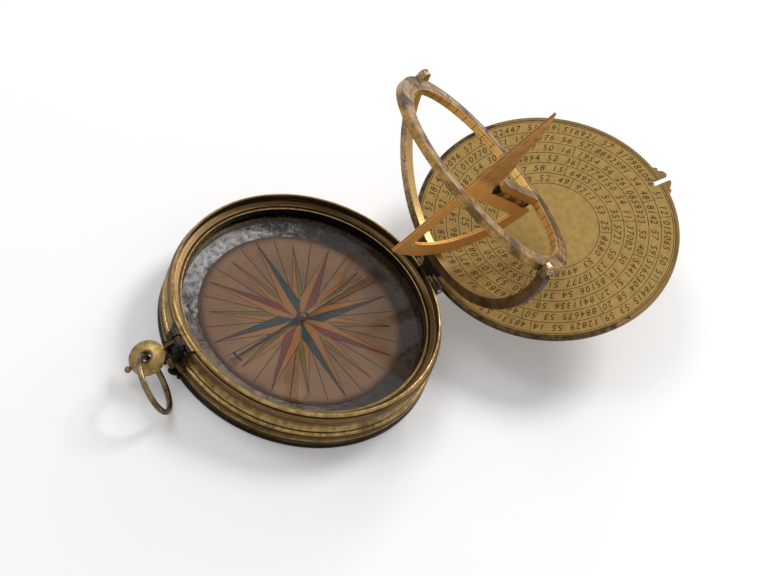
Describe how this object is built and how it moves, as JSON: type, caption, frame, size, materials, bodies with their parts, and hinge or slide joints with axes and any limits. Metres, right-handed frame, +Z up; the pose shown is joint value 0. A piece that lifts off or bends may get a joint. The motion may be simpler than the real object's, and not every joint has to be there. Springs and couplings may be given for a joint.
{
  "type": "pocket compendium",
  "caption": "Round brass pocket case with a glazed compass, a hinged lid plate and a folding universal equinoctial sundial between them.",
  "frame": {"origin": "centre of the underside of the lower cover, where the case stands on the table", "axes": "+Z up along the case's axis, +X from the case's axis to the hinge and the open lid, +Y along the hinge"},
  "size_m": [0.1469, 0.0664, 0.0655],
  "materials": {
    "case_brass": "turned old brass with dark patina in the mouldings",
    "plate_brass": "flat engraved brass, worn matt",
    "dial_brass": "brass with brown patina, bright inner faces",
    "gnomon_brass": "warm orange-brown brass, smooth",
    "blackened": "dark patinated metal in the hinges and the bracket",
    "steel": "bright worn steel pins",
    "needle_steel": "blued steel",
    "bail_brass": "dark brass wire",
    "dark_tray": "blackened board",
    "paper": "aged printed paper, matt",
    "window": "thin old clear glass",
    "cover_brass": "brass with near-black patina"
  },
  "bodies": {
    "case": {"case_wall": "case_brass", "case_floor": "case_brass", "compass_tray": "dark_tray", "compass_card": "paper", "pivot_pin": "steel", "glass": "window", "bezel_ring": "case_brass", "case_hinge": "blackened", "top_hinge_pin": "steel", "hasp_bracket": "blackened", "bracket_rivets": "bail_brass", "hasp_pin": "steel", "case_low_hinge": "blackened", "cover_pin": "steel"},
    "compass_needle": {"needle": "needle_steel", "needle_cap": "dial_brass"},
    "lid": {"lid_plate": "plate_brass", "lid_rim": "plate_brass", "lid_hinge_leaf": "blackened", "lid_rivets": "plate_brass"},
    "arc": {"support_arc": "dial_brass", "arc_bracket": "blackened"},
    "ring": {"hour_ring": "dial_brass", "hinge_bar": "gnomon_brass", "gnomon_pin": "blackened", "pivot_screw_far": "steel", "pivot_screw_near": "steel"},
    "style": {"gnomon": "gnomon_brass"},
    "latch": {"hasp": "case_brass", "hasp_finial": "case_brass"},
    "bail": {"bail_ring": "bail_brass"},
    "bottom": {"lower_cover": "cover_brass", "cover_leaf": "blackened"}
  },
  "joints": [
    {"name": "dial_fold", "type": "hinge", "parent": "case", "child": "arc", "pos_m": [0.0332, 0, 0.01145], "axis": [0, 1, 0], "range_deg": [-96.2, 0]},
    {"name": "ring_tilt", "type": "hinge", "parent": "arc", "child": "ring", "pos_m": [0.03707, 0, 0.04704], "axis": [0, 1, 0], "range_deg": [0, 57.6]},
    {"name": "style_fold", "type": "hinge", "parent": "ring", "child": "style", "pos_m": [0.03582, 0, 0.04548], "axis": [0.7815, 0, -0.6239], "range_deg": [0, 90]},
    {"name": "lid_swing", "type": "hinge", "parent": "case", "child": "lid", "pos_m": [0.0332, 0, 0.01145], "axis": [0, 1, 0], "range_deg": [-110, 0]},
    {"name": "hasp_swing", "type": "hinge", "parent": "case", "child": "latch", "pos_m": [-0.0343, 0, 0.011], "axis": [0, 1, 0], "range_deg": [-12, 122]},
    {"name": "bail_swing", "type": "hinge", "parent": "latch", "child": "bail", "pos_m": [-0.04112, 0, 0.00669], "axis": [-0.5344, 0, 0.8453], "range_deg": [-150, 10]},
    {"name": "needle_spin", "type": "hinge", "parent": "case", "child": "compass_needle", "pos_m": [0, 0, 0.0072], "axis": [0, 0, 1], "continuous": true},
    {"name": "bottom_swing", "type": "hinge", "parent": "case", "child": "bottom", "pos_m": [0.0342, 0, 0.0013], "axis": [0, 1, 0], "range_deg": [-100, 0]}
  ],
  "couplings": [
    {"joint": "ring_tilt", "follows": "dial_fold", "ratio": -0.598},
    {"joint": "style_fold", "follows": "dial_fold", "ratio": -0.935},
    {"joint": "lid_swing", "follows": "dial_fold", "ratio": 1.143}
  ]
}
